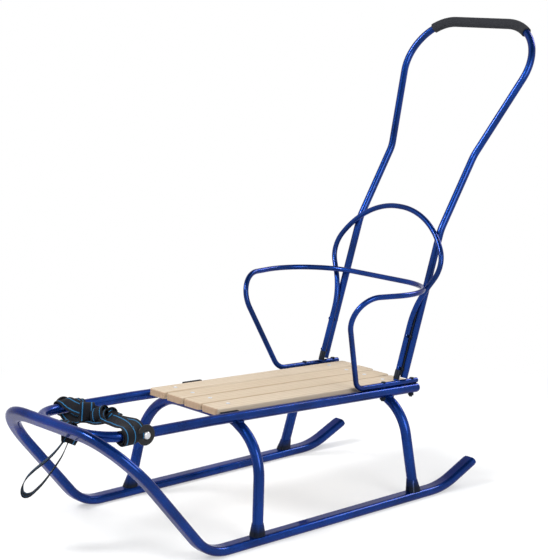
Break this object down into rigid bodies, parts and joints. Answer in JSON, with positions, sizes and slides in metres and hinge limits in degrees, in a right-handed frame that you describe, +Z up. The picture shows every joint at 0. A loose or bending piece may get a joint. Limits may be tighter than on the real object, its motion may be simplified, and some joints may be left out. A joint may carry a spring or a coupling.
{
  "type": "push sled",
  "caption": "Child's push sled: bent tube runners in one loop, wooden slat seat, armrest hoop, backrest arch and tall push handle.",
  "frame": {"origin": "floor level, under the middle of the sled's own box", "axes": "+X is the sled's left, -Y is forward past the nose, +Z is up"},
  "size_m": [0.386, 1.0816, 0.87],
  "materials": {
    "blue_paint": "gloss metallic",
    "pine": "sawn and sanded",
    "grip_foam": "matte foam",
    "steel": "zinc plated",
    "black_fitting": "matte",
    "webbing": "woven, with two turquoise stripes"
  },
  "bodies": {
    "root": {"armrest_hoop": "blue_paint", "backrest_arch": "blue_paint", "front_foot_left": "black_fitting", "front_foot_right": "black_fitting", "front_leg_arch": "blue_paint", "hand_loop": "webbing", "handle_bolt_left_1": "steel", "handle_bolt_left_2": "steel", "handle_bolt_right_1": "steel", "handle_bolt_right_2": "steel", "handle_grip": "grip_foam", "hoop_bolt_left_1": "steel", "hoop_bolt_left_2": "steel", "hoop_bolt_right_1": "steel", "hoop_bolt_right_2": "steel", "push_handle": "blue_paint", "rail_cap_left": "blue_paint", "rail_cap_right": "blue_paint", "rear_foot_left": "black_fitting", "rear_foot_right": "black_fitting", "rear_leg_arch": "blue_paint", "runner_loop": "blue_paint", "seat_frame": "blue_paint", "slat_1": "pine", "slat_2": "pine", "slat_3": "pine", "slat_4": "pine", "strap_band": "webbing", "strap_bolt_left": "steel", "strap_bolt_right": "steel", "strap_disc_left": "black_fitting", "strap_disc_right": "black_fitting", "strap_knot": "webbing", "strap_wrap_left": "webbing", "strap_wrap_right": "webbing", "tail_cap_left": "blue_paint", "tail_cap_right": "blue_paint"}
  },
  "joints": []
}
